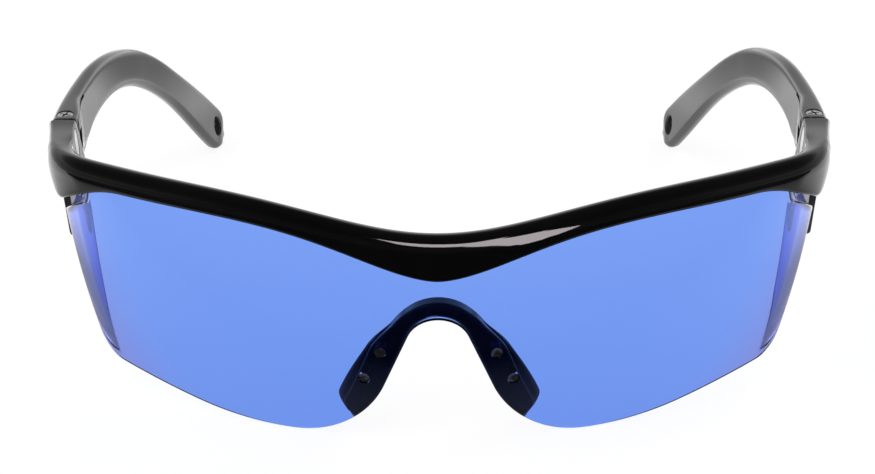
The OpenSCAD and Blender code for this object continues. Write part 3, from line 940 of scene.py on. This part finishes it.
# Mask of the painted light on the pads, rising past the saddle's depth
flange = bridgeMesh.attributes.new("flange", "FLOAT", "POINT")
for vertex, value in zip(bridgeMesh.vertices, flange.data):
    value.value = smooth((vertex.co.y / mm - flangeDepth) / bridge["flangeFade"])
pegRadius, pegFront = bridge["pegRadius"], -lens["thickness"]
peg = newObject("peg", revolved("peg", [
    (0.3, 0.02 + pegFront), (pegRadius - 0.25, 0.05 + pegFront), (pegRadius, 0.3 + pegFront),
    (pegRadius, 0.5), (0.4, 0.9)], count=32, axis="Y"))
spotted(peg, pegSpots, rubber)
combine(noseBridge, peg, "UNION")
wrapped(noseBridge, rubber)
finishSurface(noseBridge, rubber, 45)
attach(noseBridge, "front")
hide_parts("nose_bridge")
print("nose bridge made", len(noseBridge.data.polygons))


# Temples

temple = {
    "straight": 25.5,
    "curve": 87.5,
    "fall": 39.5,
    "toeIn": 16.7,
    "toePower": 1.9,
    "rise": 5,
    "thick": 5.2,
    "tipThick": 3.2,
    "tipSlim": 0.45,
    "neckIn": 1.3,
    "neckFrom": 4,
    "neckTo": 14,
    "height": 8.2,
    "tipHeight": 10.6,
    "tipBlend": 32,
    "taper": 60,
    "riseTaper": 50,
    "wingDrop": 12,
    "wingFade": 12,
    "wingPower": 1.7,
    "wingThick": 1.3,
    "ledgePart": 0.9,
    "wingTuck": 2.0,
    "edge": 1.3,
    "holeRadius": 2.2,
    "slitFrom": 8.3,
    "slitLength": 8,
    "slitHeight": 0.7,
    "slitDepth": 0.8,
    "slitEdge": 0.15,
    "fineSteps": 380,
    "rings": 130,
    "tipRings": 14,
    "tipLeft": 0.0004,
    "endShrink": 0.03,
}
templeLength = temple["straight"] + temple["curve"]
templeFront = hinge["y"] - hinge["knuckleRadius"]
fineStep = templeLength / temple["fineSteps"]


def fallAngle(w):
    if w < temple["straight"]:
        return 0
    return temple["fall"] * sind(90 * (w - temple["straight"]) / temple["curve"])


armPath = [(0.0, 0.0)]
for step in range(temple["fineSteps"]):
    angle = fallAngle((step + 0.5) * fineStep)
    armPath.append((armPath[-1][0] + fineStep * cosd(angle), armPath[-1][1] + fineStep * sind(angle)))
middleZ = face["topHeight"] - temple["rise"]
fallScale = (middleZ - temple["tipHeight"] / 2) / armPath[-1][1]


def pathAt(w):
    f = min(max(w / fineStep, 0), temple["fineSteps"])
    i = min(int(f), temple["fineSteps"] - 1)
    return tuple(mix(armPath[i][c], armPath[i + 1][c], f - i) for c in (0, 1))


def armY(w):
    return templeFront + pathAt(w)[0] + max(w - templeLength, 0)


def armZ(w):
    return middleZ - pathAt(w)[1] * fallScale


def armSlope(w):
    return math.degrees(math.atan(tand(fallAngle(min(w, templeLength))) * fallScale))


def armX(w):
    share = max(armY(w) - hinge["y"], 0) / (armY(templeLength) - hinge["y"])
    return hinge["x"] - temple["toeIn"] * share ** temple["toePower"]


def armHalf(w):
    tip = smooth((w - templeLength + temple["tipBlend"]) / temple["tipBlend"])
    return mix(temple["height"], temple["tipHeight"], tip) / 2


def armLow(w):
    front = (face["topHeight"] - hinge["lowHeight"] - temple["rise"]) / temple["ledgePart"]
    return mix(front, armHalf(w), smooth(w / temple["taper"]))


def armOuter(w):
    return mix(temple["thick"], temple["tipThick"], smooth(w / temple["taper"])) / 2


def armThick(w):
    neck = smooth((w - temple["neckFrom"]) / (temple["neckTo"] - temple["neckFrom"]))
    gone = smooth((w - temple["neckTo"]) / (temple["taper"] - temple["neckTo"]))
    return 2 * armOuter(w) - temple["neckIn"] * neck * (1 - gone)


tipTurn = math.degrees(math.atan(temple["toePower"] * temple["toeIn"] / (armY(templeLength) - hinge["y"])))


# Section across the arm, a length w from its front; points are (outward, up) from the arm's middle line
def armRing(w):
    over, at = max(w - templeLength, 0), min(w, templeLength)
    half = temple["tipHeight"] / 2
    k = math.sqrt(max(1 - (over / half) ** 2, temple["tipLeft"]))
    slim = 1 - temple["tipSlim"] * smooth(over / half) ** 3
    a = armSlope(w)
    x = armX(at) - over * sind(tipTurn)
    y = templeFront + pathAt(w)[0] + over * cosd(a)
    z = armZ(at) - over * sind(a)
    up = mix(temple["rise"], armHalf(w), smooth(w / temple["riseTaper"])) * k
    down = (armLow(w) + temple["wingDrop"] * bell(w, temple["wingFade"], temple["wingPower"])) * k
    outer, thick = armOuter(w), armThick(w)
    low = mix(thick, temple["wingThick"], math.exp(-w / (2 * temple["wingFade"])))
    r = min(temple["edge"], up * 0.6)
    lowR = min(r, low * 0.45)
    inUp, inDown = outer - thick, outer - low
    tuck = temple["wingTuck"] * math.exp(-w / temple["wingFade"])
    ledge = min(armLow(w) * k, down - r)
    centre = (outer + inUp) / 2
    section = roundedLoop([
        (outer - r, up, r), (outer - 0.3 * r, up - 0.3 * r, r), (outer, up - r, r),
        (outer, -0.1 * down, 9), (outer - 0.6 * tuck, -0.5 * down, 9), (outer - tuck, lowR - down, lowR),
        (outer - tuck - 0.3 * lowR, 0.3 * lowR - down, lowR), (outer - tuck - lowR, -down, lowR),
        (inDown - tuck + 0.7 * lowR, -down, lowR), (inDown - tuck, 0.7 * lowR - down, lowR),
        (mix(inDown, inUp, 0.15) - 0.3 * tuck, -ledge, 1.2), (inUp, -temple["ledgePart"] * ledge, 1.2),
        (inUp, up - r, 0.7 * r), (inUp + 0.3 * r, up - 0.3 * r, 0.5 * r), (inUp + r, up, 0.7 * r)], steps=3)
    section = [(centre + (p - centre) * slim, q) for p, q in section]
    if w == 0:
        section = shrunk(section, temple["endShrink"])
    return [(x + p, y - originY + q * sind(a), z + q * cosd(a)) for p, q in section]


def boxMesh(name, low, high):
    points = [(x, y, z) for x in (low[0], high[0]) for y in (low[1], high[1]) for z in (low[2], high[2])]
    faces = [(0, 1, 3, 2), (4, 6, 7, 5), (0, 4, 5, 1), (2, 3, 7, 6), (0, 2, 6, 4), (1, 5, 7, 3)]
    return meshFrom(name, points, faces)


def easedBox(name, low, high, ease):
    mesh = boxMesh(name, low, high)
    bm = bmesh.new()
    bm.from_mesh(mesh)
    bmesh.ops.bevel(bm, geom=bm.edges[:], offset=ease * mm, segments=3, affect="EDGES", profile=0.5)
    bm.to_mesh(mesh)
    bm.free()
    return mesh


def shift(mesh, x, y, z):
    mesh.transform(Matrix.Translation((x * mm, y * mm, z * mm)))
    return mesh


def armMesh():
    rings, tipRings = temple["rings"], temple["tipRings"]
    places = [0.0, 0.3] + [templeLength * i / rings for i in range(1, rings + 1)]
    places += [templeLength + temple["tipHeight"] / 2 * sind(90 * i / tipRings)
               for i in range(1, tipRings + 1)]
    return loft("templeRight", [armRing(w) for w in places])


hingeY = hinge["y"] - originY
frontY = templeFront - originY
knuckle = hinge["knuckleRadius"]


# The gap of the fork, which the brow's tongue fills
def forkSlot():
    low = (hinge["x"] - hinge["cutReach"], frontY - 1, tongueLow - hinge["forkGap"])
    high = (hinge["x"] + hinge["cutReach"], hingeY + knuckle + 0.3, tongueTop + hinge["forkGap"])
    return easedBox("slot", low, high, hinge["slotEdge"])


# Block in front of the inner half of the knuckle, less a quarter of a round
def knuckleCorner(count=20):
    outline = [(-hinge["cutReach"], frontY - 1), (0, frontY - 1)]
    turns = [90 * i / count for i in range(count + 1)]
    outline += [(knuckle * sind(-a), hingeY - knuckle * cosd(a)) for a in turns]
    outline += [(-hinge["cutReach"], hingeY)]
    return loft("corner", [[(hinge["x"] + x, y, z) for x, y in outline] for z in (10, face["topHeight"] + 2)])


headSeat = face["topHeight"] - hinge["headHeight"]
nutSeat = hinge["lowHeight"] + hinge["nutHeight"] + hinge["nutRoom"]


def screwHole():
    bore, seat = hinge["screwRadius"] + hinge["fit"], hinge["headRadius"] + hinge["fit"]
    mouth, top = hinge["headRadius"] + 0.3, face["topHeight"]
    return shift(revolved("screwHole", [
        (bore, nutSeat - 1), (bore, headSeat), (seat, headSeat), (seat, top - 0.18), (mouth, top + 0.1),
        (mouth, top + 1)]), hinge["x"], hingeY, 0)


def nutPocket():
    radius = hinge["nutWidth"] / 2 / cosd(30) + hinge["fit"]
    return shift(revolved("nutPocket", [(radius, hinge["lowHeight"] - 2), (radius, nutSeat)], count=6),
                 hinge["x"], hingeY, 0)


# Narrow slot high on the inner side, just behind the hinge
def innerSlit():
    middle = temple["slitFrom"] + temple["slitLength"] / 2
    x = armX(middle) + armOuter(middle) - armThick(middle)
    y, half = armY(middle) - originY, temple["slitLength"] / 2
    top = face["topHeight"] - temple["edge"]
    low = (x - 1, y - half, top - temple["slitHeight"])
    return easedBox("slit", low, (x + temple["slitDepth"], y + half, top), temple["slitEdge"])


# Lanyard hole through the tip, with a rounded mouth on each side
def lanyardEye():
    r = temple["holeRadius"]
    mouth = [(r + 3, 4), (r + 0.8, 2.1), (r + 0.12, 1.35), (r, 1.1)]
    eye = revolved("eye", [(w, -z) for w, z in mouth] + mouth[::-1], count=64)
    slope = armSlope(templeLength)
    normal = Vector((cosd(tipTurn), sind(tipTurn) * cosd(slope), -sind(tipTurn) * sind(slope)))
    eye.transform(normal.to_track_quat("Z", "Y").to_matrix().to_4x4())
    return shift(eye, armX(templeLength), armY(templeLength) - originY, armZ(templeLength))


templeRight = newObject("templeRight", armMesh())
for opening in (forkSlot, knuckleCorner, screwHole, nutPocket, innerSlit, lanyardEye):
    cutAway(templeRight, opening())

mirrored = templeRight.data.copy()
mirrored.name = "templeLeft"
mirrored.transform(Matrix.Scale(-1, 4, (1, 0, 0)))
mirrored.flip_normals()
templeLeft = newObject("templeLeft", mirrored)
for obj, body, node in ((templeRight, "right_temple", "temple_right"),
                        (templeLeft, "left_temple", "temple_left")):
    finishSurface(obj, satinBlack, 40)
    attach(obj, body)
    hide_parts(node)
print("temples made", len(templeRight.data.polygons))


# Screws and nuts

fasteners = {
    "threads": 12,
    "pitch": 0.4,
    "threadDepth": 0.14,
    "crossPart": 0.68,
    "crossHalf": 0.21,
    "crossFloor": 0.38,
    "crossTurn": 20,
    "nutEdge": 0.16,
}


def screwMesh():
    low, top = nutSeat - hinge["nutHeight"], headSeat
    r, head = hinge["screwRadius"], hinge["headRadius"]
    root, crest, pitch = r - fasteners["threadDepth"], r - 0.01, fasteners["pitch"]
    threadLow = low + 0.2
    profile = [(r - 0.35, low), (r - 0.1, low + 0.15)]
    for i in range(fasteners["threads"]):
        z = threadLow + i * pitch
        profile += [(root, z), (crest, z + pitch * 0.35), (crest, z + pitch * 0.5), (root, z + pitch * 0.85)]
    profile += [(r, threadLow + fasteners["threads"] * pitch), (r, top), (head - 0.05, top),
                (head, top + 0.1), (head, top + 0.62), (head - 0.1, top + 0.78), (head - 0.4, top + 0.86),
                (0.3, top + 0.9)]
    return revolved("screw", profile, count=56)


def crossArm(turn):
    reach, half = hinge["headRadius"] * fasteners["crossPart"], fasteners["crossHalf"]
    arm = boxMesh("recess", (-reach, -half, headSeat + fasteners["crossFloor"]), (reach, half, headSeat + 2))
    arm.transform(Matrix.Rotation(math.radians(turn), 4, "Z"))
    return arm


def hexRim(angle):
    turn = (angle + math.pi / 6) % (math.pi / 3) - math.pi / 6
    return hinge["nutWidth"] / 2 / math.cos(math.pi / 6 - abs(turn))


def nutMesh():
    bore = hinge["screwRadius"] + hinge["fit"]
    return meshFrom("nut", *ringPlate(
        hexRim, bore, nutSeat - hinge["nutHeight"], nutSeat - hinge["fit"], fasteners["nutEdge"]))


for side, body in ((1, "right_temple"), (-1, "left_temple")):
    name = "Right" if side > 0 else "Left"
    screw = newObject("hingeScrew" + name, screwMesh())
    for turn in (0, 90):
        cutAway(screw, crossArm(turn + fasteners["crossTurn"] * side))
    nut = newObject("hingeNut" + name, nutMesh())
    for obj, node in ((screw, "hinge_screw_"), (nut, "hinge_nut_")):
        spotted(obj, [(side * hinge["x"], hingeY, 0)], steel)
        finishSurface(obj, steel, 30)
        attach(obj, body)
        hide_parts(node + name.lower())
bpy.data.objects.remove(faceGuide)
print("screws and nuts made")


# Floor, light and camera. Lamps are in metres, other places in mm.
# The ramps of the floor and the room are (place, level) and shape only what the glasses reflect

studio = {
    "floorSize": 6000,
    "floorColour": (0.90, 0.90, 0.90, 1),
    "floorGlow": 0.90,
    "frontFrom": -86,  # the floor in front of the lens is dark in reflections
    "frontTo": -58,
    "frontLevel": 0.04,
    "floorReach": 200,
    "floorBeside": [(0.0, 0.30), (0.33, 0.32), (0.50, 0.50), (0.78, 1.8), (1.0, 1.9)],
    "floorBehind": [(0.0, 0.38), (0.06, 0.42), (0.105, 0.85), (0.16, 1.30), (0.20, 0.90), (0.30, 1.1),
                    (0.50, 1.8), (1.0, 1.9)],
    "behindFull": 40,
    "roomRound": [(0.0, 0.05), (0.15, 0.08), (0.29, 0.26), (0.67, 0.63), (0.93, 0.8), (1.0, 1.0)],
    "roomUp": [(0.0, 1.4), (0.17, 1.05), (0.32, 0.80), (0.44, 1.0), (0.50, 0.75), (0.60, 0.30),
               (0.82, 0.08), (1.0, 0.05)],
    "roomAcross": [(0.0, 0.95), (0.20, 1.0), (0.42, 1.15), (1.0, 1.15)],
    "ambient": 0.62,
    "lampAim": (0, 0, 0.02),
    "lamps": [("keyLight", (-0.35, -0.45, 0.95), 0.7, 7.5), ("fillLight", (0.6, 0.2, 0.8), 0.6, 3.5)],
    "cameraDistance": 450,
    "cameraElevation": 26.75,
    "aim": (-0.40, 40.39, 19.40),
    "aimRaise": 0.845,
    "cameraTurn": 0.6,
    "cameraRoll": -0.37,
    "lens": 92.92,
}


def ramp(tree, source, stops):
    node = addNode(tree, "ShaderNodeValToRGB")
    elements = node.color_ramp.elements
    while len(elements) < len(stops):
        elements.new(0.5)
    for element, (position, level) in zip(elements, stops):
        element.position = position
        element.color = (level, level, level, 1)
    link(tree, source, node.inputs["Fac"])
    return node.outputs["Color"]


# White is one straight from the camera or through the lens;
# glossy is one after a reflection, also out through the lens
def raySorts(tree):
    path = addNode(tree, "ShaderNodeLightPath").outputs
    through = path["Is Transmission Ray"]
    depth = mathNode(tree, "ADD", path["Glossy Depth"], path["Diffuse Depth"])
    bounced = mathNode(tree, "MINIMUM", depth, 1.0)
    straight = mathNode(tree, "MULTIPLY", through, mathNode(tree, "SUBTRACT", 1.0, bounced))
    white = mathNode(tree, "MAXIMUM", path["Is Camera Ray"], straight)
    glossy = mathNode(tree, "MAXIMUM", path["Is Glossy Ray"], mathNode(tree, "MULTIPLY", through, bounced))
    return white, glossy


def makeFloor():
    half = studio["floorSize"] / 2
    corners = [(-half, -half, 0), (half, -half, 0), (half, half, 0), (-half, half, 0)]
    floor = newObject("floor", meshFrom("floor", corners, [(0, 1, 2, 3)]))
    material, tree = newMaterial("paleFloor")
    diffuse = addNode(tree, "ShaderNodeBsdfDiffuse", {"Color": studio["floorColour"]})
    glow = addNode(tree, "ShaderNodeEmission")
    white, glossy = raySorts(tree)
    axes = splitVector(tree, ownPlace(tree))
    near = remap(tree, axes["Y"], studio["frontFrom"] * mm, studio["frontTo"] * mm, studio["frontLevel"], 1.0)
    aside = mathNode(tree, "MULTIPLY", mathNode(tree, "ABSOLUTE", axes["X"]), 1 / (studio["floorReach"] * mm))
    beside, behind = ramp(tree, aside, studio["floorBeside"]), ramp(tree, aside, studio["floorBehind"])
    back = remap(tree, axes["Y"], 0.0, studio["behindFull"] * mm, 0.0, 1.0)
    farther = mathNode(tree, "MULTIPLY", behind, back)
    nearer = mathNode(tree, "MULTIPLY", beside, mathNode(tree, "SUBTRACT", 1.0, back))
    mapped = mathNode(tree, "MULTIPLY", near, mathNode(tree, "ADD", farther, nearer))
    reflected = mathNode(tree, "MULTIPLY", mathNode(tree, "SUBTRACT", 1.0, white), mapped)
    link(tree, mathNode(tree, "ADD", white, reflected), glow.inputs["Strength"])
    seen = mathNode(tree, "MAXIMUM", mathNode(tree, "MULTIPLY", white, studio["floorGlow"]), glossy)
    showSurface(tree, mixShaders(tree, seen, diffuse, glow))
    floor.data.materials.append(material)


def makeWorld():
    world = bpy.data.worlds.new("studio")
    bpy.context.scene.world = world
    world.use_nodes = True
    tree = world.node_tree
    tree.nodes.clear()
    direction = splitVector(tree, addNode(tree, "ShaderNodeTexCoord").outputs["Generated"])
    around = ramp(tree, mathNode(tree, "MULTIPLY_ADD", direction["Y"], 0.5, 0.5), studio["roomRound"])
    above = ramp(tree, direction["Z"], studio["roomUp"])
    across = ramp(tree, mathNode(tree, "ABSOLUTE", direction["X"]), studio["roomAcross"])
    room = mathNode(tree, "MULTIPLY", mathNode(tree, "MULTIPLY", around, above), across)
    white, glossy = raySorts(tree)
    rest = mathNode(tree, "SUBTRACT", 1.0, mathNode(tree, "MAXIMUM", white, glossy))
    seen = mathNode(tree, "MAXIMUM", white, mathNode(tree, "MULTIPLY", glossy, room))
    strength = mathNode(tree, "MAXIMUM", seen, mathNode(tree, "MULTIPLY", rest, studio["ambient"]))
    background = addNode(tree, "ShaderNodeBackground", {"Color": (1, 1, 1, 1)})
    link(tree, strength, background.inputs["Strength"])
    out = addNode(tree, "ShaderNodeOutputWorld")
    link(tree, background.outputs[0], out.inputs["Surface"])


# Square area lamp that lights the piece but shows in no reflection
def softbox(name, place, size, power):
    light = bpy.data.lights.new(name, "AREA")
    light.size = size
    light.energy = power
    obj = newObject(name, light)
    aim = (Vector(studio["lampAim"]) - Vector(place)).to_track_quat("-Z", "Y").to_matrix().to_4x4()
    obj.matrix_world = Matrix.Translation(place) @ aim
    obj.visible_camera = False
    obj.visible_glossy = False


# Tall pale card that only reflections show: the streak along the brow. Its outline is in degrees
# to the side and up, as seen from the middle of the brow
streakCard = {
    "from": (12, 46),
    "reach": 130,
    "floorGap": 3,
    "glow": 12.5,
    "colour": (1.0, 0.90, 0.93, 1),
    "outline": [(-12.8, 60.8), (-10.2, 62), (-8, 56), (-4, 51), (2, 47.5), (9, 44.5), (9, 37), (12, 34.5),
                (16, 31), (19, 26), (23, 21), (22, 10), (21, 0), (20, -10), (20, -20), (17, -23),
                (14.5, -22.5), (12.5, -17), (10, -12), (7, -3), (5, 4), (3.5, 11), (1, 18), (-2, 25),
                (-4.5, 31), (-6.5, 38), (-8.5, 42), (-10, 46), (-10.8, 53), (-12.3, 58)],
}


def makeStreakCard():
    x, z = streakCard["from"]
    points = []
    for side, up in streakCard["outline"]:
        reach = streakCard["reach"]
        if up < 0:  # the lower part stops above the floor
            reach = min(reach, (z - streakCard["floorGap"]) / sind(-up))
        out = reach * cosd(up)
        points.append((x + out * sind(side), -originY - out * cosd(side), z + reach * sind(up)))
    mesh = bpy.data.meshes.new("streakCard")
    mesh.from_pydata(inMetres(points), [], [tuple(range(len(points)))])
    card = newObject("streakCard", mesh)
    material, tree = newMaterial("paleCard")
    showSurface(tree, addNode(tree, "ShaderNodeEmission", {
        "Color": streakCard["colour"], "Strength": streakCard["glow"]}))
    mesh.materials.append(material)
    card.visible_camera = card.visible_diffuse = card.visible_transmission = card.visible_shadow = False


def makeCamera():
    camera = bpy.data.cameras.new("camera")
    camera.lens = studio["lens"]
    camera.sensor_width = 36
    camera.clip_start = 0.01
    obj = newObject("camera", camera)
    turn, elevation = studio["cameraTurn"], studio["cameraElevation"]
    aimX, aimY, aimZ = studio["aim"]
    target = Vector((aimX * mm, (aimY - originY) * mm, aimZ * mm))
    away = Vector((sind(turn) * cosd(elevation), -cosd(turn) * cosd(elevation), sind(elevation)))
    tilt = math.radians(90 - elevation + studio["aimRaise"])
    aim = Matrix.Rotation(math.radians(turn), 4, "Z") @ Matrix.Rotation(tilt, 4, "X")
    roll = Matrix.Rotation(math.radians(studio["cameraRoll"]), 4, "Z")
    obj.matrix_world = Matrix.Translation(target + studio["cameraDistance"] * mm * away) @ aim @ roll
    bpy.context.scene.camera = obj


makeFloor()
makeWorld()
for lamp in studio["lamps"]:
    softbox(*lamp)
makeStreakCard()
makeCamera()
bpy.context.scene.view_settings.view_transform = "Standard"
print("studio made")
